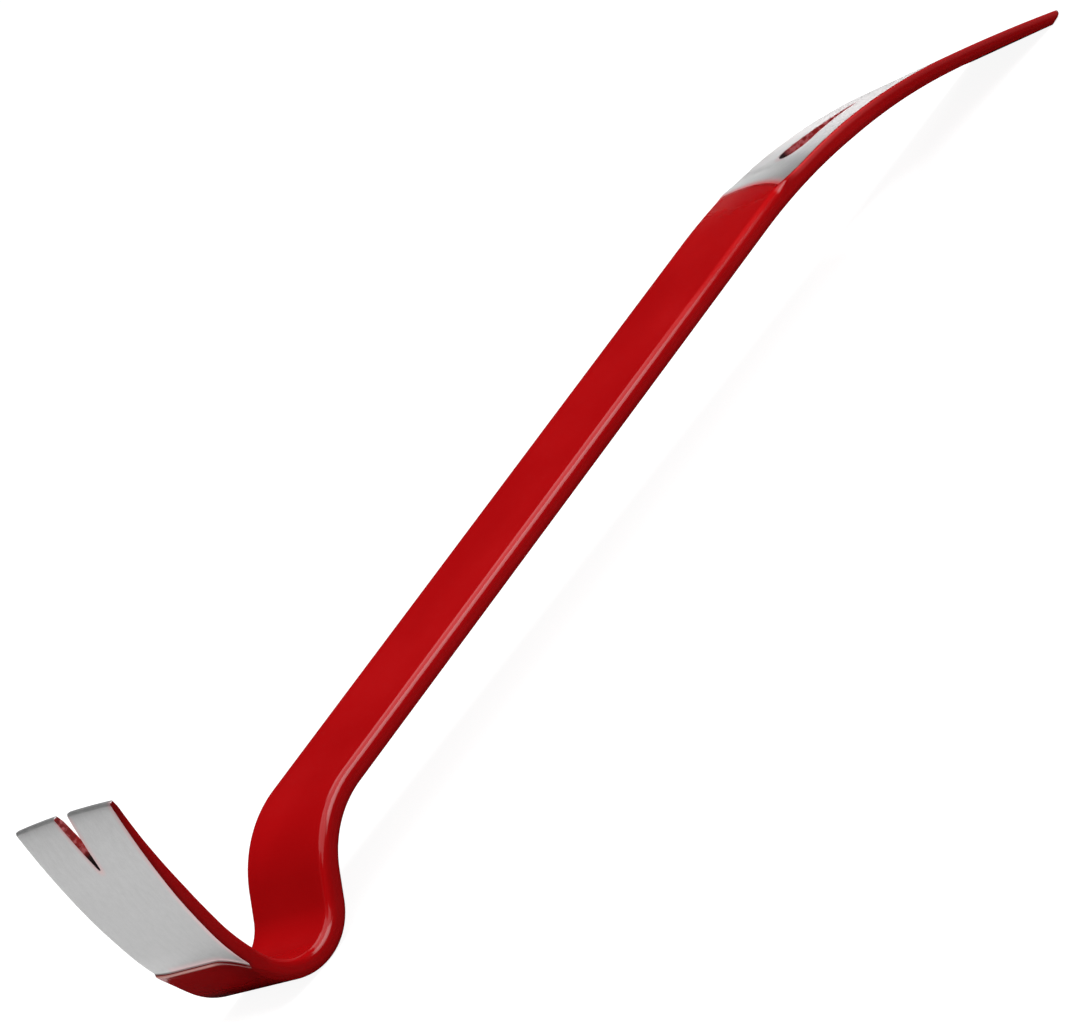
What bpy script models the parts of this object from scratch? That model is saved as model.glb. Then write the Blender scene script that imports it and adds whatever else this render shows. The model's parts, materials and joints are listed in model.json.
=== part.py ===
# Flat pry bar: one steel forging with a coat of paint, lying on its back with the claw up.
# X runs along the shank to the blade, Y across the bar, Z up. Units are metres.
# The side view is a chain of arcs and straight runs, walked from the claw's tip to the blade's tip.

from math import asin, atan2, cos, degrees, pi, radians, sin

import bmesh
import bpy
from mathutils import Matrix, Vector

# Bare steel, before the paint
SHANK_LENGTH = 0.2015
SHANK_WIDTH = 0.0388
SHANK_THICKNESS = 0.0040
EDGE_RADIUS = 0.0014

# Side view, on the centre line of the steel
GOOSENECK_RADIUS = 0.031
GOOSENECK_ANGLE = radians(48.3)
NECK_LENGTH = 0.007
HEEL_RADIUS = 0.0149
HEEL_ANGLE = radians(118.3)
CLAW_ROOT_RADIUS = 0.052
CLAW_ROOT_LENGTH = 0.017
CLAW_RADIUS = 0.208
CLAW_LENGTH = 0.0404
BLADE_RADIUS = 0.212
BLADE_LENGTH = 0.082
BLADE_END_RADIUS = 0.70
BLADE_END_LENGTH = 0.0442

# Claw
CLAW_TIP_WIDTH = 0.0502
CLAW_MID_THICKNESS = 0.00355
CLAW_TIP_THICKNESS = 0.0013
CLAW_EDGE_THICKNESS = 0.0006
CLAW_BEVEL_LENGTH = 0.0014
CLAW_TIP_BOW = 0.0006
CLAW_BOW_REACH = 0.012
NOTCH_MOUTH = 0.0070
NOTCH_DEPTH = 0.0156
NOTCH_ROOT_RADIUS = 0.0005

# Blade
BLADE_MID_THICKNESS = 0.0045
BLADE_TIP_THICKNESS = 0.0028
BLADE_EDGE_THICKNESS = 0.0007
BLADE_BEVEL_LENGTH = 0.0034
SLOT_FROM_TIP = 0.0640
SLOT_LENGTH = 0.0300
SLOT_WIDTH = 0.0112
SLOT_POINT_RADIUS = 0.0010

# Paint, and the two faces ground bright through it
PAINT_CLEARANCE = 0.0003
PAINT_THICKNESS = 0.0003
PAINT_SETBACK = 0.0003
CLAW_GROUND_LENGTH = 0.0485
BLADE_GROUND_LENGTH = 0.1075
BLADE_PAINT_LAP = 0.0003
GROUND_EDGE_RADIUS = 0.00015
GROUND_FADE = 0.006

# How finely the round parts are cut
CORNER_STEPS = 4
FLAT_STEPS = 6
ROUND_STEPS = 16
WIDEST_TURN = radians(8.0)
LONGEST_STEP = 0.0125
SHORTEST_STEP = 0.0004
RESTING_SAMPLES = 2000
RESTING_ROUNDS = 30
SHARP_ANGLE = radians(32.0)

# A long edge is rounded by at most this share of the thickness there
EDGE_SHARE = 0.42

# What the paint adds to each face, and how far a cutter runs past what it cuts
PAINT_BUILD = PAINT_CLEARANCE + PAINT_THICKNESS
OVERRUN = 0.004
CUTTER_DEPTH = 0.020

# Each run is its length and its turn per metre, a left turn counted as positive
RUNS = [
    (CLAW_LENGTH, 1.0 / CLAW_RADIUS),
    (CLAW_ROOT_LENGTH, 1.0 / CLAW_ROOT_RADIUS),
    (HEEL_RADIUS * HEEL_ANGLE, 1.0 / HEEL_RADIUS),
    (NECK_LENGTH, 0.0),
    (GOOSENECK_RADIUS * GOOSENECK_ANGLE, -1.0 / GOOSENECK_RADIUS),
    (SHANK_LENGTH, 0.0),
    (BLADE_LENGTH, -1.0 / BLADE_RADIUS),
    (BLADE_END_LENGTH, -1.0 / BLADE_END_RADIUS),
]
CLAW_END = CLAW_LENGTH + CLAW_ROOT_LENGTH
HEEL_END = CLAW_END + HEEL_RADIUS * HEEL_ANGLE
SHANK_START = HEEL_END + NECK_LENGTH + GOOSENECK_RADIUS * GOOSENECK_ANGLE
SHANK_END = SHANK_START + SHANK_LENGTH
TOTAL = SHANK_END + BLADE_LENGTH + BLADE_END_LENGTH


def advance(x, z, heading, length, turn):
    # Walks along one arc or straight run and returns where it ends
    swept = turn * length
    if abs(swept) < 1e-9:
        return x + cos(heading) * length, z + sin(heading) * length, heading
    middle = heading + swept / 2
    chord = length * sin(swept / 2) / (swept / 2)
    return x + cos(middle) * chord, z + sin(middle) * chord, heading + swept


def start_of_walk():
    # Claw tip and heading that put the start of the shank at 0, 0 and the shank along X
    x, z, heading = 0.0, 0.0, pi
    for length, turn in reversed(RUNS[:5]):
        x, z, heading = advance(x, z, heading, length, -turn)
    return x, z, heading - pi


def centre_line(distance):
    # Point and heading at a distance from the claw's tip, carried on straight past either end
    x, z, heading = start_of_walk()
    if distance < 0.0:
        return advance(x, z, heading, distance, 0.0)
    left = distance
    for length, turn in RUNS:
        if left <= length:
            return advance(x, z, heading, left, turn)
        x, z, heading = advance(x, z, heading, length, turn)
        left -= length
    return advance(x, z, heading, left, 0.0)


def between(value, points):
    # Straight line interpolation through (place, size) pairs in rising order
    if value <= points[0][0]:
        return points[0][1]
    for (a, low), (b, high) in zip(points, points[1:]):
        if value <= b:
            return low + (high - low) * (value - a) / (b - a)
    return points[-1][1]


def width_at(distance):
    # The claw flares evenly to its tip
    return between(distance, [(0.0, CLAW_TIP_WIDTH), (CLAW_END, SHANK_WIDTH), (TOTAL, SHANK_WIDTH)])


def thickness_at(distance):
    # The claw is drawn thinner to its tip; the blade swells a little, then thins to its tip
    return between(distance, [
        (0.0, CLAW_TIP_THICKNESS),
        (CLAW_END / 2, CLAW_MID_THICKNESS),
        (CLAW_END, SHANK_THICKNESS),
        (SHANK_END, SHANK_THICKNESS),
        (SHANK_END + BLADE_LENGTH / 2, BLADE_MID_THICKNESS),
        (TOTAL, BLADE_TIP_THICKNESS),
    ])


def back_bevel(distance):
    # How much of the back is taken off by the short bevel at each working edge
    claw = CLAW_TIP_THICKNESS - CLAW_EDGE_THICKNESS
    blade = BLADE_TIP_THICKNESS - BLADE_EDGE_THICKNESS
    return between(distance, [
        (0.0, claw),
        (CLAW_BEVEL_LENGTH, 0.0),
        (TOTAL - BLADE_BEVEL_LENGTH, 0.0),
        (TOTAL, blade),
    ])


def edge_radii(distance):
    # Radius of the front edges and of the back edges: the back's are nearly sharp where the claw is ground
    full = min(EDGE_RADIUS, EDGE_SHARE * (thickness_at(distance) - back_bevel(distance)))
    sharp = GROUND_EDGE_RADIUS
    back = between(distance, [(CLAW_GROUND_LENGTH, sharp), (CLAW_GROUND_LENGTH + GROUND_FADE, full)])
    return full, back


def half_section(distance, grow, side):
    # One half of the cross section as (y, height) points from +Y to -Y; side is +1 for the front
    half = width_at(distance) / 2 + grow
    height = thickness_at(distance) / 2 + grow
    if side < 0:
        height -= back_bevel(distance)
    radius = edge_radii(distance)[0 if side > 0 else 1] + grow
    corner = [radians(90.0 * i / CORNER_STEPS) for i in range(CORNER_STEPS + 1)]
    left = [(half - radius + radius * cos(a), height - radius + radius * sin(a)) for a in corner]
    flat = half - radius
    middle = [(flat - 2 * flat * i / FLAT_STEPS, height) for i in range(1, FLAT_STEPS)]
    right = [(-y, h) for y, h in reversed(left)]
    return [(y, side * h) for y, h in left + middle + right]


def bow(distance, y):
    # The claw's working edge is slightly convex; the bow dies away up the claw
    fade = between(distance, [(0.0, 1.0), (CLAW_BOW_REACH, 0.0)])
    return CLAW_TIP_BOW * fade * (1.0 - (2.0 * y / CLAW_TIP_WIDTH) ** 2)


def place(distance, y, height):
    # A point given by its distance along the bar, its Y, and its height off the centre line
    x, z, heading = centre_line(distance)
    return Vector((x - sin(heading) * height, y, z + cos(heading) * height))


def resting_turn():
    # Turn about Y, and shift, that set the painted heel and the blade's back on the floor
    samples = [i * TOTAL / RESTING_SAMPLES for i in range(RESTING_SAMPLES + 1)]
    back = []
    for distance in samples:
        height = -(thickness_at(distance) / 2 + PAINT_BUILD - back_bevel(distance))
        back.append(place(distance, 0.0, height))
    front = [place(d, 0.0, thickness_at(d) / 2 + PAINT_BUILD) for d in samples]
    split = (SHANK_START + SHANK_END) / 2
    angle = 0.0
    for _ in range(RESTING_ROUNDS):
        turned = [Matrix.Rotation(angle, 3, 'Y') @ p for p in back]
        heel = min((p for p, d in zip(turned, samples) if d < split), key=lambda p: p.z)
        blade = min((p for p, d in zip(turned, samples) if d >= split), key=lambda p: p.z)
        angle += atan2(blade.z - heel.z, blade.x - heel.x)
    turn = Matrix.Rotation(angle, 4, 'Y')
    every = [turn @ p for p in back + front]
    low = min(p.z for p in every)
    middle = (min(p.x for p in every) + max(p.x for p in every)) / 2
    return Matrix.Translation((-middle, 0.0, -low)) @ turn


def stations(start, end, marks):
    # Distances along the bar for the cross sections: close together where it bends
    places = {start, end}
    for mark in marks:
        if start < mark < end:
            places.add(mark)
    edge = 0.0
    for length, turn in RUNS:
        count = int(max(abs(turn) * length / WIDEST_TURN, length / LONGEST_STEP)) + 1
        for i in range(count + 1):
            mark = edge + length * i / count
            if start < mark < end:
                places.add(mark)
        edge += length
    ordered = sorted(places)
    kept = [ordered[0]]
    for mark in ordered[1:]:
        if mark - kept[-1] > SHORTEST_STEP:
            kept.append(mark)
        elif mark == end:
            kept[-1] = mark
    return kept


def mesh_object(name, points, faces, collection):
    mesh = bpy.data.meshes.new(name)
    mesh.from_pydata(points, [], faces)
    item = bpy.data.objects.new(name, mesh)
    collection.objects.link(item)
    return item


def loft(name, rows, collection):
    # Skins a list of sections, each an upper row and a lower row from +Y to -Y, of equal length
    count = len(rows[0][0])
    points = []
    for front, back in rows:
        points += list(front) + list(reversed(back))
    ring = 2 * count
    faces = []
    for k in range(len(rows) - 1):
        a, b = k * ring, (k + 1) * ring
        for i in range(ring):
            j = (i + 1) % ring
            faces.append((a + i, a + j, b + j, b + i))
    last = (len(rows) - 1) * ring
    for i in range(count - 1):
        cap = (i, i + 1, ring - 2 - i, ring - 1 - i)
        faces.append(tuple(reversed(cap)))
        faces.append(tuple(last + n for n in cap))
    return mesh_object(name, points, faces, collection)


def bar_solid(name, grow, start, end, collection, rest):
    # The bar's outline grown outwards by the same amount all round
    marks = [CLAW_BEVEL_LENGTH, CLAW_BOW_REACH, CLAW_END / 2, CLAW_GROUND_LENGTH,
             CLAW_GROUND_LENGTH + GROUND_FADE, SHANK_END + BLADE_LENGTH / 2, TOTAL - BLADE_BEVEL_LENGTH]
    rows = []
    for d in stations(start, end, marks):
        front = [rest @ place(d - bow(d, y), y, h) for y, h in half_section(d, grow, 1)]
        back = [rest @ place(d - bow(d, y), y, h) for y, h in half_section(d, grow, -1)]
        rows.append((front, back))
    return loft(name, rows, collection)


def ground_cutter(name, side, start, end, collection, rest):
    # All that stands proud of the bare steel on one face, over one stretch of the bar. The claw's whole
    # width is ground, but on the blade's front the paint keeps the rounded edges and laps onto the flat.
    marks = [CLAW_BEVEL_LENGTH, CLAW_END / 2, SHANK_END + BLADE_LENGTH / 2, TOTAL - BLADE_BEVEL_LENGTH]
    rows = []
    for d in stations(start, end, marks):
        level = thickness_at(d) / 2
        if side > 0:
            half = width_at(d) / 2 - edge_radii(d)[0] - BLADE_PAINT_LAP
        else:
            half = CLAW_TIP_WIDTH / 2 + PAINT_BUILD + OVERRUN
            level -= back_bevel(d)
        levels = [level, level + PAINT_BUILD + OVERRUN]
        near = [rest @ place(d, y, side * levels[0]) for y in (half, -half)]
        far = [rest @ place(d, y, side * levels[1]) for y in (half, -half)]
        rows.append((far, near) if side > 0 else (near, far))
    return loft(name, rows, collection)


def tapered_outline(point_radius, wide_radius, span):
    # Two circles and their common tangents: the small one at 0, the wide one at span
    lean = asin((wide_radius - point_radius) / span)
    outline = []
    for i in range(ROUND_STEPS + 1):
        a = pi / 2 + lean + (pi - 2 * lean) * i / ROUND_STEPS
        outline.append((point_radius * cos(a), point_radius * sin(a)))
    for i in range(ROUND_STEPS + 1):
        a = -pi / 2 - lean + (pi + 2 * lean) * i / ROUND_STEPS
        outline.append((span + wide_radius * cos(a), wide_radius * sin(a)))
    return outline


def outline_cutter(name, outline, matrix, collection):
    # A flat outline drawn as a filled curve with depth, then made a closed mesh
    curve = bpy.data.curves.new(name + '_outline', 'CURVE')
    curve.dimensions = '2D'
    curve.fill_mode = 'BOTH'
    curve.extrude = CUTTER_DEPTH / 2
    spline = curve.splines.new('POLY')
    spline.points.add(len(outline) - 1)
    for point, (u, v) in zip(spline.points, outline):
        point.co = (u, v, 0.0, 1.0)
    spline.use_cyclic_u = True
    drawn = bpy.data.objects.new(name + '_outline', curve)
    collection.objects.link(drawn)
    drawn.matrix_world = matrix
    bpy.context.view_layer.update()
    graph = bpy.context.evaluated_depsgraph_get()
    mesh = bpy.data.meshes.new_from_object(drawn.evaluated_get(graph))
    work = bmesh.new()
    work.from_mesh(mesh)
    bmesh.ops.remove_doubles(work, verts=work.verts, dist=0.00001)
    bmesh.ops.recalc_face_normals(work, faces=work.faces)
    work.to_mesh(mesh)
    work.free()
    mesh.name = name
    item = bpy.data.objects.new(name, mesh)
    item.matrix_world = drawn.matrix_world
    collection.objects.link(item)
    bpy.data.objects.remove(drawn)
    return item


def face_frame(distance, rest):
    # Matrix whose X runs along the bar towards the blade, Y across it and Z out of its front
    _, _, heading = centre_line(distance)
    axes = Matrix.Rotation(-heading, 4, 'Y')
    return rest @ Matrix.Translation(place(distance, 0.0, 0.0)) @ axes


def notch_cutter(name, grow, collection, rest):
    # The nail notch: its root lies up the claw, and its walls open out past the tip
    root = NOTCH_ROOT_RADIUS + grow
    run = NOTCH_DEPTH - NOTCH_ROOT_RADIUS
    reach = run + CLAW_TIP_BOW + OVERRUN
    slope = asin((NOTCH_MOUTH / 2 - NOTCH_ROOT_RADIUS) / run)
    wide = root + reach * sin(slope)
    outline = [(-u, v) for u, v in tapered_outline(root, wide, reach)]
    return outline_cutter(name, outline, face_frame(run, rest), collection)


def slot_cutter(name, grow, collection, rest):
    # The nail slot: its round end is towards the shank and its point towards the blade's tip
    point = SLOT_POINT_RADIUS + grow
    wide = SLOT_WIDTH / 2 + grow
    span = SLOT_LENGTH - SLOT_POINT_RADIUS - SLOT_WIDTH / 2
    point_centre = TOTAL - SLOT_FROM_TIP - SLOT_POINT_RADIUS
    frame = face_frame(point_centre - span / 2, rest) @ Matrix.Translation((span / 2, 0.0, 0.0))
    outline = [(-u, v) for u, v in tapered_outline(point, wide, span)]
    return outline_cutter(name, outline, frame, collection)


def cut(item, cutter):
    modifier = item.modifiers.new('cut_' + cutter.name, 'BOOLEAN')
    modifier.operation = 'DIFFERENCE'
    modifier.solver = 'EXACT'
    modifier.object = cutter


def hide(item):
    item.hide_render = True
    item.display_type = 'WIRE'


def finish(item, material):
    item.data.materials.append(material)
    item.data.shade_smooth()
    item.data.set_sharp_from_angle(angle=SHARP_ANGLE)


def surface(name, colour, metallic, roughness, coat):
    material = bpy.data.materials.new(name)
    material.use_nodes = True
    shader = material.node_tree.nodes['Principled BSDF']
    shader.inputs['Base Color'].default_value = (*colour, 1.0)
    shader.inputs['Metallic'].default_value = metallic
    shader.inputs['Roughness'].default_value = roughness
    shader.inputs['Coat Weight'].default_value = coat
    material.diffuse_color = (*colour, 1.0)
    return material


def main():
    for item in list(bpy.data.objects):
        bpy.data.objects.remove(item)
    scene = bpy.context.scene
    parts = bpy.data.collections.new('flat_pry_bar')
    cutters = bpy.data.collections.new('flat_pry_bar_cutters')
    scene.collection.children.link(parts)
    scene.collection.children.link(cutters)

    steel = surface('ground_steel', (0.50, 0.51, 0.52), 1.0, 0.38, 0.0)
    paint = surface('red_paint', (0.42, 0.004, 0.006), 0.0, 0.28, 0.4)
    rest = resting_turn()

    bar = bar_solid('forged_bar', 0.0, 0.0, TOTAL, parts, rest)
    for cutter in (notch_cutter('bar_notch', PAINT_BUILD, cutters, rest),
                   slot_cutter('bar_slot', PAINT_BUILD, cutters, rest)):
        cut(bar, cutter)
        hide(cutter)
    finish(bar, steel)

    # The room that the steel and its clearance take up inside the paint
    room = bar_solid('paint_room', PAINT_CLEARANCE, -OVERRUN, TOTAL + OVERRUN, cutters, rest)
    for cutter in (notch_cutter('room_notch', PAINT_CLEARANCE, cutters, rest),
                   slot_cutter('room_slot', PAINT_CLEARANCE, cutters, rest)):
        cut(room, cutter)
        hide(cutter)
    hide(room)

    coat = bar_solid('paint_coat', PAINT_BUILD, PAINT_SETBACK, TOTAL - PAINT_SETBACK, parts, rest)
    for cutter in (
        notch_cutter('coat_notch', 0.0, cutters, rest),
        slot_cutter('coat_slot', 0.0, cutters, rest),
        room,
        ground_cutter('claw_grind', -1, -OVERRUN, CLAW_GROUND_LENGTH, cutters, rest),
        ground_cutter('blade_grind', 1, TOTAL - BLADE_GROUND_LENGTH, TOTAL + OVERRUN, cutters, rest),
    ):
        cut(coat, cutter)
        hide(cutter)
    finish(coat, paint)
    print('turned onto its back by %.2f degrees' % degrees(rest.to_euler().y))


main()
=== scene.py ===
# Flat pry bar: one steel forging under red paint, ground bright on the claw's outside and the blade's front
import bpy
import json
import math
import numpy as np
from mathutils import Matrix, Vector

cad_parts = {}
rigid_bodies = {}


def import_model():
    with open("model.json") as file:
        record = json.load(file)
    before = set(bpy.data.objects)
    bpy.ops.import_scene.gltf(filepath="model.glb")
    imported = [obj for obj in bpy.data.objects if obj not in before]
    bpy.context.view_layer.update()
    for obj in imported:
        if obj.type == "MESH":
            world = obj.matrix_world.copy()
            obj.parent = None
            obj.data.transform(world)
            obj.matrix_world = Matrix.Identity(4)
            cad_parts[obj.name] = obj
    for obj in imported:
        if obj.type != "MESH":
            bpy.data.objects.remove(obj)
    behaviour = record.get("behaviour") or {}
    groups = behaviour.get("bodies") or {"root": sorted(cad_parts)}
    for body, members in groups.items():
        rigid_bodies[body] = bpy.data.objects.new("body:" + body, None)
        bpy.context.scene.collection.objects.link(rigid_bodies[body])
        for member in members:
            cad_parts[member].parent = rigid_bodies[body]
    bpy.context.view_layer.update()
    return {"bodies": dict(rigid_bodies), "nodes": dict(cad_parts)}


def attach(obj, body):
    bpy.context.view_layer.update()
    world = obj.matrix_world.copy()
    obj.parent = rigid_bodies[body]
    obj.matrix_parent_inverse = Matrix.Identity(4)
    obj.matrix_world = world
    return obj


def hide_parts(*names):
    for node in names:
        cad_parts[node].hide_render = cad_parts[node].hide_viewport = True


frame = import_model()
print("frame loaded:", sorted(frame["nodes"]))

# The forging's side view and sections, in metres, as the CAD has them
bar = {
    "clawLength": 0.0404, "clawRadius": 0.208,
    "rootLength": 0.017, "rootRadius": 0.052,
    "heelRadius": 0.0149, "heelAngle": math.radians(118.3),
    "neckLength": 0.007,
    "gooseneckRadius": 0.031, "gooseneckAngle": math.radians(48.3),
    "shankLength": 0.2015,
    "bladeLength": 0.082, "bladeRadius": 0.212,
    "bladeEndLength": 0.0442, "bladeEndRadius": 0.70,
    "width": 0.0388, "clawTipWidth": 0.0502,
    "thickness": 0.0040, "clawMiddle": 0.00355, "clawTip": 0.0013,
    "bladeMiddle": 0.0045, "bladeTip": 0.0028,
    "clawEdge": 0.0010, "clawBevel": 0.0008,
    "clawGroundAt": (0.0, 0.0020, 0.0120, 0.0404),       # from the claw's tip
    "clawGround": (0.0006, 0.0002, 0.00032, 0.0),        # ground off the claw's inner face there
    "bladeEdge": 0.0007, "bladeBevel": 0.0034,
    "tipBow": 0.0006, "bowReach": 0.012,
    "frontCorner": 0.0024,           # over the paint
    "backCorner": 0.0018,
    "groundCorner": 0.00045,         # beside the claw's ground face
    "bladeCorner": 0.0008,           # beside the blade's ground face
    "cornerShare": (0.46, 0.40),     # most of the thickness that the front and the back corner take
    "cornerFade": 0.006,
    "clawWear": (0.00015, 0.0004),   # how far the tip's corners are worn in, and over what length
    "bladeWear": (0.0008, 0.0016),
}
notch = {"mouth": 0.0070, "depth": 0.0156, "rootRadius": 0.0005, "rim": 0.00022, "wear": (0.00015, 0.0005)}
slot = {"fromTip": 0.0640, "length": 0.0300, "width": 0.0112, "pointRadius": 0.0010, "rim": 0.00030}
paint = {
    "build": 0.0006,                 # paint's surface above the CAD's bare steel
    "skin": 0.00012,                 # thickness of the coat
    "hair": 0.00002,                 # air between coat and steel
    "setBack": 0.0004,               # bare at the very tips
    "heelLine": 0.0491,              # where the claw's ground face ends, from the claw's tip
    "heelDips": ((-1, 0.009, 0.008, 0.0024), (1, 0.012, 0.007, -0.0006)),     # side, start, reach and amount
    "dipLimit": 1.4,                 # of a dip's reach
    "bladeLine": (0.1077, -0.2242, 7.07),     # where the blade's ground face starts, from the blade's tip
    "shoulder": 0.0012, "shoulderBefore": 0.0005,
    "rampBefore": 0.0008, "rampLength": 0.011,
    "hazeSide": 0.012,               # the steel's red haze follows the border of the paint below this Y,
    "hazeLow": 0.011, "hazeHigh": 0.0685,     # and on the claw's half between these two Z
}
grid = {
    "across": 28, "crowd": 0.35,     # columns of the front and back, and how far they crowd to the edges
    "arc": 9, "side": 6, "wall": 6, "rim": 4,
    "rings": 12, "ringCrowd": 1.6,   # rings round a hole
    "holeMargin": 0.004,             # from a hole's end to the end of its rings
    "step": 0.0040, "bendStep": 0.0011, "tipStep": 0.0002,
    "heelBend": 0.007, "bladeBend": 0.016,      # how far from a paint line the rows bend with it
    "bareCells": 3,                  # of each thin edge, beside the claw's ground face
    "weldScale": 1e7,                # parts of a metre that points are rounded to, to weld them
    "sharpAngle": math.radians(38),
}

runs = [                             # length and turn per metre, from the claw's tip to the blade's
    (bar["clawLength"], 1 / bar["clawRadius"]),
    (bar["rootLength"], 1 / bar["rootRadius"]),
    (bar["heelRadius"] * bar["heelAngle"], 1 / bar["heelRadius"]),
    (bar["neckLength"], 0.0),
    (bar["gooseneckRadius"] * bar["gooseneckAngle"], -1 / bar["gooseneckRadius"]),
    (bar["shankLength"], 0.0),
    (bar["bladeLength"], -1 / bar["bladeRadius"]),
    (bar["bladeEndLength"], -1 / bar["bladeEndRadius"]),
]
runStart = np.concatenate([[0.0], np.cumsum([length for length, turn in runs])])
total = runStart[-1]
clawEnd = runStart[2]
shankStart, shankEnd = runStart[5], runStart[6]
slotStart = total - slot["fromTip"] - slot["length"]


def walk(x, z, heading, length, turn):
    # end of one arc or straight run: the chord lies along the heading half way round
    swept = turn * length
    chord = length * np.sinc(swept / 2 / np.pi)
    middle = heading + swept / 2
    return x + np.cos(middle) * chord, z + np.sin(middle) * chord, heading + swept


def runTable():
    # start point, heading and turn of each run, with the shank's start at the origin,
    # and a straight run past each end
    x, z, heading = 0.0, 0.0, math.pi
    for length, turn in reversed(runs[:5]):
        x, z, heading = walk(x, z, heading, length, -turn)
    heading -= math.pi
    table = [(x, z, heading, 0.0)]
    for length, turn in runs:
        table.append((x, z, heading, turn))
        x, z, heading = walk(x, z, heading, length, turn)
    table.append((x, z, heading, 0.0))
    return np.array(table, float)


runRows = runTable()


def centreLine(distance):
    # point and heading at every distance from the claw's tip: a walk from the start of the run that it is in
    s = np.asarray(distance, float)
    index = np.searchsorted(runStart, s, side="right")
    start = np.concatenate([[0.0], runStart])[index]
    x, z, heading, turn = np.moveaxis(runRows[index], -1, 0)
    return walk(x, z, heading, s - start, turn)


def thicknessAt(s):
    # the steel's thickness: straight lines between the tips, the middles of the claw and blade, and the shank
    marks = [0, clawEnd / 2, clawEnd, shankEnd, shankEnd + bar["bladeLength"] / 2, total]
    return np.interp(s, marks, [bar["clawTip"], bar["clawMiddle"], bar["thickness"], bar["thickness"],
                                bar["bladeMiddle"], bar["bladeTip"]])


def rolled(t):
    # 1 at 0, falling to 0 at 1 along a parabola
    return np.clip(1 - t, 0, 1) ** 2


def smooth(t):
    # 0 at 0 and 1 at 1, level at both ends: three squares less two cubes
    t = np.clip(t, 0, 1)
    return t * t * (3 - 2 * t)


def bevelAt(s):
    # what the back loses at the working edges: rolled over at the claw, straight at the blade
    claw = (bar["clawTip"] - bar["clawEdge"]) * rolled(s / bar["clawBevel"])
    return claw + np.interp(s, [total - bar["bladeBevel"], total], [0, bar["bladeTip"] - bar["bladeEdge"]])


def halfWidthAt(s):
    # the claw flares to its tip, and all four corners are worn round
    ends = ((s, bar["clawWear"]), (total - s, bar["bladeWear"]))
    worn = sum(depth * rolled(distance / reach) for distance, (depth, reach) in ends)
    return np.interp(s, [0, clawEnd], [bar["clawTipWidth"] / 2, bar["width"] / 2]) + paint["build"] - worn


def heelLineAt(y):
    # a nearly straight line across the claw's outer face that bends at both ends, as the square past a start
    dips = [amount * np.clip((side * y - start) / reach, 0, paint["dipLimit"]) ** 2
            for side, start, reach, amount in paint["heelDips"]]
    return paint["heelLine"] + sum(dips)


def bladeLineAt(y):
    # a parabola across the blade's front, nearer the tip on one side
    a, b, c = paint["bladeLine"]
    return total - (a + b * y + c * y * y)


def frontLevel(s, y):
    # height of the front above the centre line: it sinks to bare steel past the blade's line
    bare = smooth((s - bladeLineAt(y) + paint["rampBefore"]) / paint["rampLength"])
    ground = np.interp(s, bar["clawGroundAt"], bar["clawGround"])
    return thicknessAt(s) / 2 + paint["build"] * (1 - bare) - ground


def backLevel(s, y):
    # depth of the back below the centre line: it steps up from bare steel at the heel's line
    painted = smooth((s - heelLineAt(y) + paint["shoulderBefore"]) / paint["shoulder"])
    return thicknessAt(s) / 2 - bevelAt(s) + paint["build"] * painted


def turned(x, z, angle):
    # a point of the side view turned about the origin
    return x * math.cos(angle) + z * math.sin(angle), z * math.cos(angle) - x * math.sin(angle)


def restingTurn():
    # turn about Y that lays the heel and the blade's back on the floor, and the shift that centres the bar:
    # each try turns it by the slope between the two lowest points
    samples, tries = 2001, 30
    s = np.linspace(0, total, samples)
    x, z, heading = centreLine(s)
    under = thicknessAt(s) / 2 + paint["build"] - bevelAt(s)
    over = thicknessAt(s) / 2 + paint["build"]
    backX, backZ = x + np.sin(heading) * under, z - np.cos(heading) * under
    frontX, frontZ = x - np.sin(heading) * over, z + np.cos(heading) * over
    blade = s >= (shankStart + shankEnd) / 2
    angle = 0.0
    for _ in range(tries):
        tx, tz = turned(backX, backZ, angle)
        heelAt = np.argmin(np.where(blade, np.inf, tz))
        bladeAt = np.argmin(np.where(blade, tz, np.inf))
        angle += math.atan2(tz[bladeAt] - tz[heelAt], tx[bladeAt] - tx[heelAt])
    tx, tz = turned(np.concatenate([backX, frontX]), np.concatenate([backZ, frontZ]), angle)
    return angle, -(tx.min() + tx.max()) / 2, -tz.min()


restAngle, shiftX, shiftZ = restingTurn()


def place(s, y, h):
    # world point at a distance along the bar, a Y across it and a height off its centre line
    fade = np.clip(1 - s / bar["bowReach"], 0, 1)
    bow = bar["tipBow"] * fade * (1 - (2 * y / bar["clawTipWidth"]) ** 2)
    x, z, heading = centreLine(s - bow)
    worldX, worldZ = turned(x - np.sin(heading) * h, z + np.cos(heading) * h, restAngle)
    return np.stack([worldX + shiftX, y + 0 * worldX, worldZ + shiftZ], -1)


def rowPlaces():
    # rows along the bar: close where it bends, on the marks that the notch, slot and paint lines need
    shoulderStart = paint["heelLine"] - paint["shoulderBefore"]
    marks = [0, paint["setBack"], bar["clawBevel"], notch["depth"] + grid["holeMargin"], shoulderStart,
             paint["heelLine"], shoulderStart + paint["shoulder"], clawEnd, shankStart, shankEnd,
             total - paint["bladeLine"][0], slotStart - grid["holeMargin"],
             total - slot["fromTip"] + grid["holeMargin"], total - bar["bladeBevel"],
             total - paint["setBack"], total]
    places = [0.0]
    for low, high in zip(marks, marks[1:]):
        atTip = high <= bar["clawBevel"] or low >= total - bar["bladeBevel"]
        step = grid["step"] if low >= shankStart and high <= shankEnd else grid["bendStep"]
        if atTip or 0 <= low - shoulderStart < paint["shoulder"]:
            step = grid["tipStep"]
        cells = max(1, math.ceil((high - low) / step - 1e-9))
        places += list(low + (high - low) * np.arange(1, cells + 1) / cells)
    return np.array(places)


def rowIndex(distance):
    return int(np.argmin(abs(rows - distance)))


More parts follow.
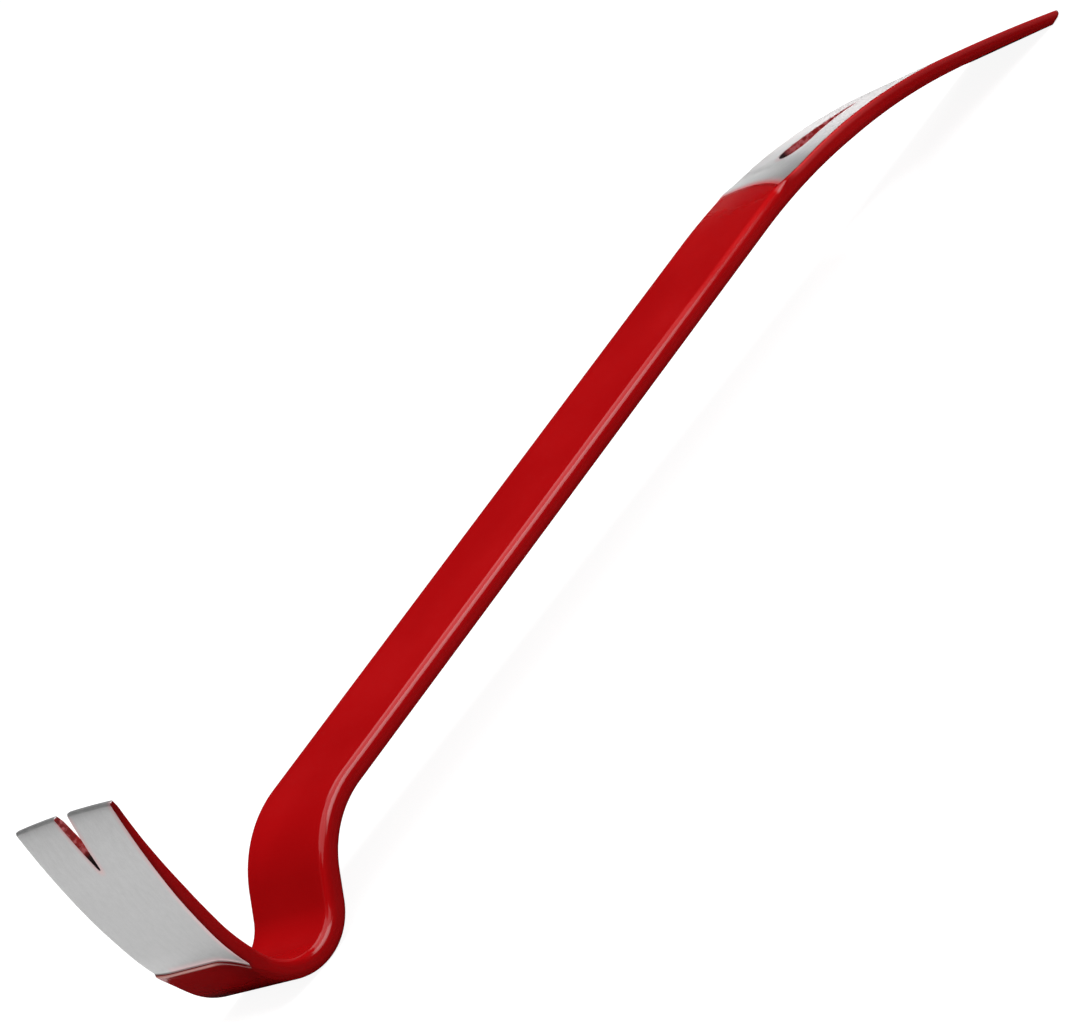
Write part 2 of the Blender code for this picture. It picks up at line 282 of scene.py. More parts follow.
rows = rowPlaces()
columns = np.linspace(1, -1, grid["across"] + 1) * (1 - grid["crowd"])
columns = np.cos(np.linspace(0, np.pi, grid["across"] + 1)) * grid["crowd"] + columns
heelRow = rowIndex(paint["heelLine"])
bladeRow = rowIndex(total - paint["bladeLine"][0])
notchEndRow = rowIndex(notch["depth"] + grid["holeMargin"])
slotStartRow = rowIndex(slotStart - grid["holeMargin"])
slotEndRow = rowIndex(total - slot["fromTip"] + grid["holeMargin"])


def warped(across):
    # rows bent to run along the two paint lines; across is 1 at +Y and -1 at -Y
    y = across * bar["width"] / 2
    r = rows[:, None]
    heel = smooth(1 - abs(r - rows[heelRow]) / grid["heelBend"]) * (heelLineAt(y) - rows[heelRow])
    blade = smooth(1 - abs(r - rows[bladeRow]) / grid["bladeBend"]) * (bladeLineAt(y) - rows[bladeRow])
    return r + heel + blade


def cornerRadii(s, side):
    # front and back corner radius on one side of the bar: small beside the ground faces
    y = side * bar["width"] / 2
    mostFront, mostBack = (share * (frontLevel(s, y) + backLevel(s, y)) for share in bar["cornerShare"])
    front, ground = np.minimum(bar["frontCorner"], mostFront), np.minimum(bar["bladeCorner"], mostFront)
    back, small = np.minimum(bar["backCorner"], mostBack), np.minimum(bar["groundCorner"], mostBack)
    toGround = smooth((s - bladeLineAt(y) + bar["cornerFade"] / 2) / bar["cornerFade"])
    fromGround = smooth((s - heelLineAt(y)) / bar["cornerFade"])
    return front + (ground - front) * toGround, small + (back - small) * fromGround


def slotEdge(s, y, grow):
    # the point of the teardrop slot that faces (s, y): from a foot on its axis, the radius there towards it
    startRadius, endRadius = slot["width"] / 2, slot["pointRadius"]
    start, end = slotStart + startRadius, total - slot["fromTip"] - endRadius
    lean = math.asin((endRadius - startRadius) / (end - start))
    foot = np.clip(s + abs(y) * math.tan(lean), start, end)
    radius = startRadius + (endRadius - startRadius) * (foot - start) / (end - start) + grow
    distance = np.hypot(s - foot, y)
    return foot + (s - foot) * radius / distance, y * radius / distance


def notchEdge(s, y, grow):
    # the notch: straight walls from the mouth to the root's small circle, and round behind it
    straight = notch["depth"] - notch["rootRadius"]
    slope = (notch["mouth"] / 2 - notch["rootRadius"]) / straight
    depth, reach = notch["wear"]
    wall = notch["rootRadius"] + grow + slope * np.clip(straight - s, 0, None) + depth * rolled(s / reach)
    distance = np.maximum(np.hypot(s - straight, y), 1e-9)
    behind = s > straight
    edgeS = np.where(behind, straight + (s - straight) * wall / distance, s)
    return edgeS, np.where(behind, y * wall / distance, np.sign(y) * wall)


def holeLoop(firstRow, lastRow, closed):
    # row and column numbers round a patch of the face grids, as a closed loop or open at the claw's tip
    last = len(columns) - 1
    down = [(i, 0) for i in range(firstRow, lastRow)]
    over = [(lastRow, j) for j in range(0, last)]
    up = [(i, last) for i in range(lastRow, firstRow, -1)]
    back = [(firstRow, j) for j in range(last, 0, -1)] if closed else [(firstRow, last)]
    return np.array(down + over + up + back)


def sidePatch(side, grow):
    # one thin edge: a quarter circle from the front, a straight wall, and a quarter circle to the back
    s = warped(np.array([[float(side)]]))
    y = side * bar["width"] / 2
    frontCorner, backCorner = (radius + grow for radius in cornerRadii(s, side))
    half = halfWidthAt(s) + grow
    turn = np.linspace(0, np.pi / 2, grid["arc"])
    part = np.linspace(0, 1, grid["side"])[1:-1]
    upper, lower = frontLevel(s, y) + grow - frontCorner, backCorner - (backLevel(s, y) + grow)
    out = np.concatenate([half - frontCorner + frontCorner * np.sin(turn), half + 0 * part,
                          half - backCorner + backCorner * np.cos(turn)], 1)
    height = np.concatenate([upper + frontCorner * np.cos(turn), upper + (lower - upper) * part,
                             lower - backCorner * np.sin(turn)], 1)
    return place(s + 0 * out, side * out, height), (half - frontCorner, half - backCorner)


def holePatch(flats, edgeOf, loop, rim, grow):
    # rings from the loop to the hole's edge, a quarter round over each edge, and a straight wall between
    inward = np.linspace(1, 0, grid["rings"]) ** grid["ringCrowd"]
    turn = np.linspace(0, np.pi / 2, grid["rim"])[1:]
    drop = np.concatenate([np.zeros(grid["rings"]), rim * (1 - np.cos(turn))])
    shells = []
    for (faceS, faceY), level, sign in zip(flats, (frontLevel, backLevel), (1, -1)):
        loopS, loopY = (values[loop[:, 0], loop[:, 1]][:, None] for values in (faceS, faceY))
        rimS, rimY = edgeOf(loopS, loopY, rim)                   # where the rounding starts on the face
        roundS, roundY = edgeOf(loopS, loopY, rim * (1 - np.sin(turn)) - grow)
        s = np.concatenate([rimS + (loopS - rimS) * inward, roundS], 1)
        y = np.concatenate([rimY + (loopY - rimY) * inward, roundY], 1)
        s[:, :1], y[:, :1] = loopS, loopY
        across = np.clip(y / halfWidthAt(s), -1, 1)
        across[:, 0] = columns[loop[:, 1]]
        shells.append(np.stack([s, y, sign * (level(s, across * bar["width"] / 2) + grow - drop)]))
    front, back = shells
    part = np.linspace(0, 1, grid["wall"])[1:-1]
    wall = front[..., -1:] + (back[..., -1:] - front[..., -1:]) * part
    return place(*np.concatenate([front, wall, back[..., ::-1]], -1))


def skin(grow):
    # every patch of the bar's surface moved outwards by grow: rows by columns of world points
    across = columns[None, :]
    s = warped(across)
    left, leftFlats = sidePatch(1, grow)
    right, rightFlats = sidePatch(-1, grow)
    patches = {"left": left, "right": right}
    flats = []
    broad = zip(("front", "back"), (frontLevel, backLevel), (1, -1), leftFlats, rightFlats)
    for name, level, sign, toLeft, toRight in broad:
        y = np.where(across >= 0, across * toLeft, across * toRight)
        flats.append((s, y))
        patches[name] = place(s, y, sign * (level(s, across * bar["width"] / 2) + grow))
    patches["slot"] = holePatch(flats, slotEdge, holeLoop(slotStartRow, slotEndRow, True), slot["rim"], grow)
    patches["notch"] = holePatch(flats, notchEdge, holeLoop(0, notchEndRow, False), notch["rim"], grow)
    return patches


patchNames = ("front", "back", "left", "right", "slot", "notch")
outer = skin(0.0)
sizes = {name: outer[name].shape[:2] for name in patchNames}
pointCounts = [high * wide for high, wide in sizes.values()]
firstOf = dict(zip(patchNames, np.cumsum([0] + pointCounts)))
print("surface worked out:", sum(pointCounts), "points")


def stacked(patches):
    return np.concatenate([patches[name].reshape(-1, 3) for name in patchNames])


def rowOf(name, row):
    # point numbers of one row of a patch
    return firstOf[name] + row * sizes[name][1] + np.arange(sizes[name][1])


def quadsOf(name, flip, closed=False):
    # four corners of each cell of one patch
    high, wide = sizes[name]
    number = firstOf[name] + np.arange(high * wide).reshape(high, wide)
    if closed:
        number = np.vstack([number, number[:1]])
    corners = np.stack([number[:-1, :-1], number[1:, :-1], number[1:, 1:], number[:-1, 1:]], -1)
    return corners[..., ::-1] if flip else corners


def capFaces(a, b, nearTurn, farTurn):
    # a ladder of quads between two chains of points, and a fan of triangles over the round end at each end
    farAt = len(a) - 1 - farTurn
    here, following = slice(nearTurn, farAt), slice(nearTurn + 1, farAt + 1)
    ladder = np.stack([a[here], a[following], b[following], b[here]], -1)
    near = np.concatenate([a[nearTurn:nearTurn + 1], b[nearTurn::-1], a[:nearTurn]])
    far = np.concatenate([a[farAt:], b[:farAt - 1:-1]])
    fans = [np.stack([np.full(len(ring) - 2, ring[0]), ring[1:-1], ring[2:], ring[2:]], -1)
            for ring in (near, far)]
    return np.concatenate([ladder] + fans)


def capChains():
    # the ends of the two tines and of the blade: two chains of points along each, and how long its turns are
    sideHalf, ringHalf = sizes["left"][1] // 2, sizes["notch"][1] // 2
    sideTurn, wallTurn = sideHalf - 1, grid["rim"] - 1 + (grid["wall"] - 2) // 2
    tines = []
    for name, ringRow in (("left", 0), ("right", sizes["notch"][0] - 1)):
        side, ring = rowOf(name, 0), rowOf("notch", ringRow)
        tines.append((np.concatenate([side[:sideHalf][::-1], ring[:ringHalf]]),
                      np.concatenate([side[sideHalf:], ring[ringHalf:][::-1]])))
    left, right = (rowOf(name, len(rows) - 1) for name in ("left", "right"))
    bladeFront = np.concatenate([left[:sideHalf][::-1], rowOf("front", len(rows) - 1), right[:sideHalf]])
    bladeBack = np.concatenate([left[sideHalf:], rowOf("back", len(rows) - 1), right[sideHalf:][::-1]])
    return [(tines[0][1], tines[0][0], sideTurn, wallTurn), (tines[1][0], tines[1][1], sideTurn, wallTurn),
            (bladeFront, bladeBack, sideTurn, sideTurn)]


def buildFaces():
    # every face as four point numbers, and for each whether paint covers it
    faces, painted = [], []

    def add(cells, covered):
        faces.append(cells.reshape(-1, 4))
        painted.append(covered.reshape(-1))

    lastRow = len(rows) - 2
    row = np.indices((len(rows) - 1, len(columns) - 1))[0]
    solid = ~(((row >= slotStartRow) & (row < slotEndRow)) | (row < notchEndRow))
    tipFree = (row >= 1) & (row < lastRow)
    add(quadsOf("front", True)[solid], (tipFree & (row < bladeRow))[solid])
    add(quadsOf("back", False)[solid], (tipFree & (row >= heelRow))[solid])
    for name, flip in (("left", False), ("right", True)):
        side = quadsOf(name, flip)
        row, column = np.indices(side.shape[:2])
        bare = (row < heelRow) & (column >= side.shape[1] - grid["bareCells"])
        add(side, ~bare & (row >= 1) & (row < lastRow))
    ring = quadsOf("slot", True, closed=True)
    add(ring, np.indices(ring.shape[:2])[1] >= grid["rings"])
    ring = quadsOf("notch", True)
    row, column = np.indices(ring.shape[:2])
    add(ring, (column < ring.shape[1] - grid["rings"]) & (row >= 1) & (row < len(ring) - 1))
    for chains in capChains():
        cap = capFaces(*chains)
        add(cap, np.zeros(len(cap), bool))
    return np.concatenate(faces), np.concatenate(painted)


def welded(points, cells):
    # which points stay where several patches share one, and the cells renumbered to them
    rounded = np.round(points * grid["weldScale"]).astype(np.int64)
    _, stay, renumber = np.unique(rounded, axis=0, return_index=True, return_inverse=True)
    return stay, renumber.reshape(-1)[cells]


faces, painted = buildFaces()
outerPoints = stacked(outer)
stay, faces = welded(outerPoints, faces)
outerPoints = outerPoints[stay]
innerPoints = stacked(skin(-paint["skin"]))[stay]
steelPoints = stacked(skin(-paint["skin"] - paint["hair"]))[stay]
print("welded:", len(stay), "points,", len(faces), "faces,", int(painted.sum()), "of them painted")


def addMesh(name, points, polygons):
    mesh = bpy.data.meshes.new(name)
    mesh.from_pydata(points, [], polygons)
    thing = bpy.data.objects.new(name, mesh)
    bpy.context.scene.collection.objects.link(thing)
    return thing


def makePiece(name, points, cells, attributes):
    # a cell with a corner that repeats becomes a triangle, and only the points in use are kept
    used, cells = np.unique(cells, return_inverse=True)
    cells = cells.reshape(-1, 4)
    fresh = cells != np.roll(cells, 1, 1)
    corners = fresh.sum(1)
    triangles = cells[corners == 3][fresh[corners == 3]].reshape(-1, 3)
    piece = addMesh(name, points[used].tolist(), cells[corners == 4].tolist() + triangles.tolist())
    mesh = piece.data
    mesh.update()
    mesh.validate()
    for key, values in attributes.items():
        attribute = mesh.attributes.new(key, "FLOAT", "POINT")
        attribute.data.foreach_set("value", values[used].astype(np.float32))
    mesh.shade_smooth()
    mesh.set_sharp_from_angle(angle=grid["sharpAngle"])
    return piece


def nearest(points, marks, blocks=24):
    # distance from every point to the nearest mark, worked out in blocks that fit in memory
    found = []
    for block in np.array_split(points, blocks):
        squares = ((block[:, None, :] - marks[None, :, :]) ** 2).sum(-1)
        found.append(np.sqrt(squares.min(1)))
    return np.concatenate(found)


touchesBare, touchesPaint = np.zeros((2, len(outerPoints)), bool)
touchesBare[faces[~painted].ravel()] = True
touchesPaint[faces[painted].ravel()] = True
wallColumns = slice(grid["rings"] + 1, -grid["rings"] - 1)
walls = np.concatenate([outer[name][:, wallColumns].reshape(-1, 3) for name in ("notch", "slot")])
border = outerPoints[touchesBare & touchesPaint]
hazy = (border[:, 0] > 0) | (border[:, 2] > paint["hazeLow"])
hazy &= (border[:, 1] < paint["hazeSide"]) & (border[:, 2] < paint["hazeHigh"])
gaps = {                                             # distance of every point from each line, in metres
    "toBorder": nearest(outerPoints, border),
    "toSideBorder": nearest(outerPoints, border[hazy]),
    "toHeelLine": nearest(outerPoints, outer["back"][heelRow]),
    "toBladeLine": nearest(outerPoints, outer["front"][bladeRow]),
    "toWall": nearest(outerPoints, walls),
}


def paintCells():
    # the coat's outside, its inside turned round, and a rim along every open edge
    cover = faces[painted]
    pairs = np.stack([cover, np.roll(cover, -1, 1)], -1).reshape(-1, 2)
    pairs = pairs[pairs[:, 0] != pairs[:, 1]]
    _, where, times = np.unique(np.sort(pairs, 1), axis=0, return_index=True, return_counts=True)
    start, end = pairs[where[times == 1]].T
    inside = len(outerPoints)                        # the inside's points follow the outside's
    rims = np.stack([end, start, start + inside, end + inside], -1)
    return np.concatenate([cover, cover[:, ::-1] + inside, rims])


steelSurface = np.where(touchesBare[:, None], outerPoints, steelPoints)
forgedBar = makePiece("forgedBar", steelSurface, faces, gaps)
paintCoat = makePiece("paintCoat", np.concatenate([outerPoints, innerPoints]), paintCells(),
                      {key: np.tile(gap, 2) for key, gap in gaps.items()})
print("pieces:", len(forgedBar.data.polygons), "and", len(paintCoat.data.polygons), "faces")

# Finishes, with painted light and shade: a step names a measure, where it starts and ends, and the values
# there (0 and 1 if left out)
steelLook = {
    "colour": (0.64, 0.64, 0.64), "shine": 0.5,
    "noiseSizes": (420.0, 2600.0), "grainTurn": (0.0, 0.0, 0.6),
    "lines": 0.14, "fine": 0.12, "streaks": 0.08, "slow": 0.14,      # shares of the pattern
    "patternTone": (0.16, 0.32, 0.90, 1.08), "patternRough": (0.12, 0.36, -0.05, 0.05),
    "paintedShading": (("up", 0.028, 0.068, 0.70, 1.0),                       # painted shade: darker to the claw's root
              ("up", 0.019, 0.027, 1.16, 1.0),                       # painted light: bright above the heel's line
              ("up", 0.0655, 0.0688, 1.0, 0.86),                     # painted shade: darker over the claw's last 4 mm
              ("along", -0.1, 0.05, 1.0, 2.142857),                  # painted light: brighter from the claw towards the blade
              # painted shade: darker towards the blade's far end
              ("along", 0.100, 0.114, 1.0, 0.66),
              ("along", 0.125, 0.150, 1.0, 0.60),
              ("toBladeLine", 0.001, 0.018, 0.52, 1.0)),             # painted shade: darker beside the blade's paint line
    # painted shade: the claw's upward-facing end darker
    "tipEnd": (("facingZ", 0.5, 0.8), ("up", 0.060, 0.066)), "tipEndPaintedShade": 0.6,
    "onBlade": (("along", 0.095, 0.125),), "bladeTint": (1.0, 0.93, 0.93, 1.0),
    "haze": (("toSideBorder", 0.0, 0.0024, 0.7, 0.0),), "hazeColour": (0.74, 0.48, 0.49, 1.0),
    # painted shadow: a dark line on the steel along the step at the heel's paint line
    "heelLine": (("toHeelLine", 0.0001, 0.0006, 0.8, 0.0),), "heelLineShadowColour": (0.13, 0.055, 0.05, 1.0),
    "sprayRagged": 0.0012, "spray": (0.0004, 0.0055, 1.0, 0.0), "sprayFade": 1.5,
    "tipMetal": (("up", 0.0678, 0.0688, 1.0, 0.62),),
    "roughness": (("along", -0.1, 0.05, 0.42, 0.31),),
    "bump": (0.35, 0.00002),                                         # strength and distance
}
paintLook = {
    "colour": (0.400, 0.0023, 0.0035), "shine": 0.5,
    "noiseSizes": (28.0, 700.0), "scuffSizes": (640.0, 1500.0),
    "drift": (0.3, 0.7), "driftTones": (0.95, 1.05),
    # painted shade: sides darker, and darker still towards the blade's end and on the claw's tip side
    "onSide": (("sideways", 0.6, 0.95),), "sidePaintedShade": 0.87,
    "bladeSide": (("along", 0.105, 0.16, 0.0, 0.22),),               # painted shade taken off the side's tone towards the blade's end
    "tipSide": (("up", 0.060, 0.068),), "tipSidePaintedShade": 0.6,
    # painted light: brighter under the heel
    "underHeel": (("facingZ", -0.1, -0.3), ("facingX", -0.75, -0.92), ("across", -0.019, -0.002)),
    "underHeelPaintedLight": 1.5,
    # painted shade: darker towards the claw
    "claw": (("along", -0.185, -0.09, 0.87, 1.0),),
    # painted shade: the paint darker within a ragged band along its borders with bare steel
    "edgeRagged": 0.0005, "edge": (0.0002, 0.0014, 0.6, 0.0), "borderShadeColour": (0.16, 0.0015, 0.0025, 1.0),
    "bladeRimHighlight": (("toBorder", 0.0012, 0.0020, 0.8, 0.0), ("toBorder", 0.0002, 0.0006),
                 ("offMiddle", 0.014, 0.017),
                 ("along", 0.082, 0.088), ("along", 0.100, 0.135, 1.0, 0.4)),
    "bladeRimHighlightColour": (0.56, 0.040, 0.042, 1.0),                     # painted highlight along the side's top edge beside the blade's bare steel
    "heelEdgeWearAndHighlight": (("toHeelLine", 0.0008, 0.0013, 0.85, 0.0), ("toHeelLine", 0.0001, 0.0004),
                 ("across", -0.014, -0.006)),
    "heelEdgeWearAndHighlightColour": (0.92, 0.30, 0.25, 1.0),                       # worn thin coat over the step at the heel, brightened as a painted highlight
    "inHole": (("toWall", 0.0001, 0.0006, 1.0, 0.0),), "holeRoughness": 0.5,
    "pale": (0.44, 0.60, 0.0, 0.75), "holeColour": (0.52, 0.13, 0.14, 1.0),
    # random dark dirt spots on the hole walls, and painted shade deepening into the notch's apex and the
    # slot's round end
    "dark": (0.28, 0.36, 0.6, 0.0), "dirtAndShadeColour": (0.012, 0.002, 0.003, 1.0),
    "recessShade": ((place(notch["depth"], 0.0, 0.0), 0.0060),             # painted shade at the notch's apex
              (place(slotStart, slot["width"] / 4, 0.0), 0.0085)),   # painted shade at the slot's round end
    "recessShadeCore": 0.6,                # share of the reach that is fully dark
    "gloss": (0.2, 0.8, 0.09, 0.17),
    "bump": (0.25, 0.00004),
}
measures = {                                         # coordinate, axis, and whether its sign is dropped
    "along": ("Object", 0, False), "across": ("Object", 1, False), "up": ("Object", 2, False),
    "offMiddle": ("Object", 1, True),
    "facingX": ("Normal", 0, False), "facingZ": ("Normal", 2, False), "sideways": ("Normal", 1, True),
}
white = (1.0, 1.0, 1.0, 1.0)


def feed(tree, node, inputs):
    # links what comes from another node, and sets what is a plain value
    for key, value in inputs.items():
        if isinstance(value, bpy.types.NodeSocket):
            tree.links.new(value, node.inputs[key])
        else:
            node.inputs[key].default_value = value


def addNode(tree, kind, settings=None, inputs=None):
    node = tree.nodes.new(kind)
    for key, value in (settings or {}).items():
        setattr(node, key, value)
    feed(tree, node, inputs or {})
    return node


def maths(tree, operation, a, b=0.5):
    return addNode(tree, "ShaderNodeMath", {"operation": operation}, {0: a, 1: b}).outputs[0]


def times(tree, a, b):
    return maths(tree, "MULTIPLY", a, b)


def plus(tree, a, b):
    return maths(tree, "ADD", a, b)


def ramp(tree, value, low, high, toLow=0.0, toHigh=1.0):
    node = addNode(tree, "ShaderNodeMapRange", {"interpolation_type": "SMOOTHSTEP"},
                   {"Value": value, "From Min": low, "From Max": high, "To Min": toLow, "To Max": toHigh})
    return node.outputs["Result"]


def mixColour(tree, factor, a, b):
    return addNode(tree, "ShaderNodeMix", {"data_type": "RGBA"}, {0: factor, 6: a, 7: b}).outputs[2]


def vectorMaths(tree, operation, inputs):
    return addNode(tree, "ShaderNodeVectorMath", {"operation": operation}, inputs).outputs


def measure(tree, name):
    # what changes over a piece: its distance from a line, its place, or the way it faces
    if name in gaps:
        return addNode(tree, "ShaderNodeAttribute", {"attribute_name": name}).outputs["Fac"]
    source, axis, unsigned = measures[name]
    coordinate = addNode(tree, "ShaderNodeTexCoord").outputs[source]
    value = addNode(tree, "ShaderNodeSeparateXYZ", None, {0: coordinate}).outputs[axis]
    return maths(tree, "ABSOLUTE", value) if unsigned else value


def stepped(tree, steps, value=None):
    # all the steps multiplied, and a value with them where there is one
    for name, *limits in steps:
        step = ramp(tree, measure(tree, name), *limits)
        value = step if value is None else times(tree, value, step)
    return value


def factorOf(tree, mask, factor):
    # 1 where the mask is 0, and the factor where it is 1
    return ramp(tree, mask, 0.0, 1.0, 1.0, factor)


def newGroup(name, inputs, outputs):
    # an empty group, its inside sockets for what comes in, and the node for what goes out
    group = bpy.data.node_groups.new(name, "ShaderNodeTree")
    for key, kind, value in inputs:
        socket = group.interface.new_socket(key, in_out="INPUT", socket_type=kind)
        if value is not None:
            socket.default_value = value
    for key in outputs:
        group.interface.new_socket(key, in_out="OUTPUT", socket_type="NodeSocketFloat")
    return group, group.nodes.new("NodeGroupInput").outputs, group.nodes.new("NodeGroupOutput")


def mottleGroup():
    # slow and fine noise on the piece, each from 0 to 1 about a half
    inputs = [("Place", "NodeSocketVector", None), ("Slow size", "NodeSocketFloat", 30.0),
              ("Fine size", "NodeSocketFloat", 900.0)]
    group, source, out = newGroup("surfaceMottle", inputs, ["Slow", "Fine"])
    for key, detail, rough in (("Slow", 3.0, 0.5), ("Fine", 2.0, 0.6)):
        size = source[key + " size"]
        noise = addNode(group, "ShaderNodeTexNoise", None,
                        {"Vector": source["Place"], "Scale": size, "Detail": detail, "Roughness": rough})
        feed(group, out, {key: noise.outputs[0]})
    return group


def grainGroup():
    # grinding marks: noise drawn out along one direction of the face
    inputs = [("Place", "NodeSocketVector", None), ("Turn", "NodeSocketVector", None)]
    group, source, out = newGroup("grindGrain", inputs, ["Lines", "Streaks"])
    turn = addNode(group, "ShaderNodeMapping", None, {"Vector": source["Place"], "Rotation": source["Turn"]})
    for key, stretch, size in (("Lines", 14.0, 260.0), ("Streaks", 7.0, 60.0)):
        drawn = addNode(group, "ShaderNodeMapping", None,
                        {"Vector": turn.outputs[0], "Scale": (1.0, stretch, 1.0)})
        noise = addNode(group, "ShaderNodeTexNoise", None,
                        {"Vector": drawn.outputs[0], "Scale": size, "Detail": 4.0, "Roughness": 0.65})
        feed(group, out, {key: noise.outputs[0]})
    return group


mottle = mottleGroup()
grain = grainGroup()


def mottled(tree, spot, slowSize, fineSize):
    inputs = {"Place": spot, "Slow size": slowSize, "Fine size": fineSize}
    return addNode(tree, "ShaderNodeGroup", {"node_tree": mottle}, inputs).outputs


def bumped(tree, height, strength, distance):
    inputs = {"Strength": strength, "Distance": distance, "Height": height}
    return addNode(tree, "ShaderNodeBump", None, inputs).outputs[0]


def newMaterial(name):
    material = bpy.data.materials.new(name)
    material.use_nodes = True
    return material, material.node_tree, material.node_tree.nodes["Principled BSDF"]


def steelMaterial():
    look = steelLook
    material, tree, shader = newMaterial("groundSteel")
    spot = addNode(tree, "ShaderNodeTexCoord").outputs["Object"]
    noise = mottled(tree, spot, *look["noiseSizes"])
    inputs = {"Place": spot, "Turn": look["grainTurn"]}
    marks = addNode(tree, "ShaderNodeGroup", {"node_tree": grain}, inputs).outputs
    pattern = plus(tree, times(tree, marks["Lines"], look["lines"]), times(tree, noise["Fine"], look["fine"]))
    pattern = plus(tree, pattern, times(tree, marks["Streaks"], look["streaks"]))
    pattern = plus(tree, pattern, times(tree, noise["Slow"], look["slow"]))
    # the steel's tone, with painted light and shade
    tone = stepped(tree, look["paintedShading"], ramp(tree, pattern, *look["patternTone"]))
    tone = times(tree, tone, factorOf(tree, stepped(tree, look["tipEnd"]), look["tipEndPaintedShade"]))
    colour = vectorMaths(tree, "SCALE", {0: look["colour"], "Scale": tone})[0]
    tint = mixColour(tree, stepped(tree, look["onBlade"]), white, look["bladeTint"])
    colour = vectorMaths(tree, "MULTIPLY", {0: colour, 1: tint})[0]
    colour = mixColour(tree, stepped(tree, look["haze"]), colour, look["hazeColour"])
    # painted shadow along the heel's step
    colour = mixColour(tree, stepped(tree, look["heelLine"]), colour, look["heelLineShadowColour"])
    ragged = plus(tree, measure(tree, "toBladeLine"), times(tree, noise["Slow"], look["sprayRagged"]))
    spray = maths(tree, "POWER", ramp(tree, ragged, *look["spray"]), look["sprayFade"])
    feed(tree, shader, {
        "Base Color": mixColour(tree, spray, colour, paintLook["colour"] + (1.0,)),
        "Metallic": stepped(tree, look["tipMetal"], maths(tree, "SUBTRACT", 1.0, spray)),
        "Roughness": plus(tree, stepped(tree, look["roughness"]), ramp(tree, pattern, *look["patternRough"])),
        "Specular IOR Level": look["shine"],
        "Normal": bumped(tree, pattern, *look["bump"]),
    })
    return material


def paintMaterial():
    look = paintLook
    material, tree, shader = newMaterial("redPaint")
    spot = addNode(tree, "ShaderNodeTexCoord").outputs["Object"]
    noise = mottled(tree, spot, *look["noiseSizes"])
    scuffs = mottled(tree, spot, *look["scuffSizes"])
    less, more = (tuple(tone * c for c in look["colour"]) + (1.0,) for tone in look["driftTones"])
    colour = mixColour(tree, ramp(tree, noise["Slow"], *look["drift"]), less, more)
    onSide = stepped(tree, look["onSide"])
    bladeSide = maths(tree, "SUBTRACT", 1.0, stepped(tree, look["bladeSide"], onSide))
    # painted shade on the sides, and painted light under the heel
    paintedShading = times(tree, factorOf(tree, onSide, look["sidePaintedShade"]), bladeSide)
    paintedShading = times(tree, paintedShading, factorOf(tree, stepped(tree, look["tipSide"], onSide), look["tipSidePaintedShade"]))
    paintedShading = times(tree, paintedShading, factorOf(tree, stepped(tree, look["underHeel"]), look["underHeelPaintedLight"]))
    colour = vectorMaths(tree, "SCALE", {0: colour, "Scale": stepped(tree, look["claw"], paintedShading)})[0]
    jitter = times(tree, maths(tree, "SUBTRACT", noise["Fine"], 0.5), look["edgeRagged"])
    ragged = plus(tree, measure(tree, "toBorder"), jitter)
    # painted shade along the paint's borders
    colour = mixColour(tree, ramp(tree, ragged, *look["edge"]), colour, look["borderShadeColour"])
    # painted highlight along the blade's side
    colour = mixColour(tree, stepped(tree, look["bladeRimHighlight"]), colour, look["bladeRimHighlightColour"])
    # worn coat with a painted highlight on the heel's step
    colour = mixColour(tree, stepped(tree, look["heelEdgeWearAndHighlight"]), colour, look["heelEdgeWearAndHighlightColour"])
    inHole = stepped(tree, look["inHole"])
    pale = ramp(tree, scuffs["Slow"], *look["pale"])
    colour = mixColour(tree, times(tree, inHole, pale), colour, look["holeColour"])
    dark = ramp(tree, scuffs["Slow"], *look["dark"])
    # painted shade deepening into the notch's apex and the slot's round end, over dark dirt spots
    for mark, reach in look["recessShade"]:
        distance = vectorMaths(tree, "DISTANCE", {0: spot, 1: tuple(mark)})["Value"]
        dark = maths(tree, "MAXIMUM", dark, ramp(tree, distance, look["recessShadeCore"] * reach, reach, 1.0, 0.0))
    gloss = ramp(tree, noise["Slow"], *look["gloss"])
    feed(tree, shader, {
        "Base Color": mixColour(tree, times(tree, inHole, dark), colour, look["dirtAndShadeColour"]),
        "Roughness": maths(tree, "MAXIMUM", gloss, times(tree, inHole, look["holeRoughness"])),
        "Specular IOR Level": look["shine"],
        "Normal": bumped(tree, noise["Fine"], *look["bump"]),
    })
    return material


for piece, material, node, slotName in ((forgedBar, steelMaterial(), "forged_bar", "ground_steel"),
                                        (paintCoat, paintMaterial(), "paint_coat", "red_paint")):
    piece.data.materials.append(material)
    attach(piece, "root" if "root" in frame["bodies"] else sorted(frame["bodies"])[0])
    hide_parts(node)
print("finishes on")

# Studio: light reaches the bar from above and from its sides, and cards keep glare off the paint
studio = {
    "cameraAt": (-0.660071, -1.045048, 0.335508), "cameraTurn": (70.6823, 41.4004, -44.0956), "lens": 163.13,
    "sensor": 36.0, "clip": (0.01, 100.0),
    "floorSize": 30.0, "floorDrop": 0.0001,
    "floorColour": 0.40, "floorShown": 0.25, "floorGlow": 0.92, "floorMirrored": 0.95,
    "ambient": 0.25,
    "cardSides": 48, "cardRadius": 3.0, "cardHigh": 3.2, "cardLean": 0.51,
    "cardOpen": (29.0, 145.0, 0.20),                 # from and to this turn the card starts this high
    "cardDrop": 0.00005, "cardColour": (0.01, 0.01, 0.01, 1.0),
    "floorCards": ((-1.8, 1.8, -2.4, -0.024), (-0.185, 0.20, -0.024, 0.060),
                   (-0.205, -0.185, -0.024, 0.056), (-0.13, 0.16, 0.060, 0.125)),     # X from, to, Y from, to
}
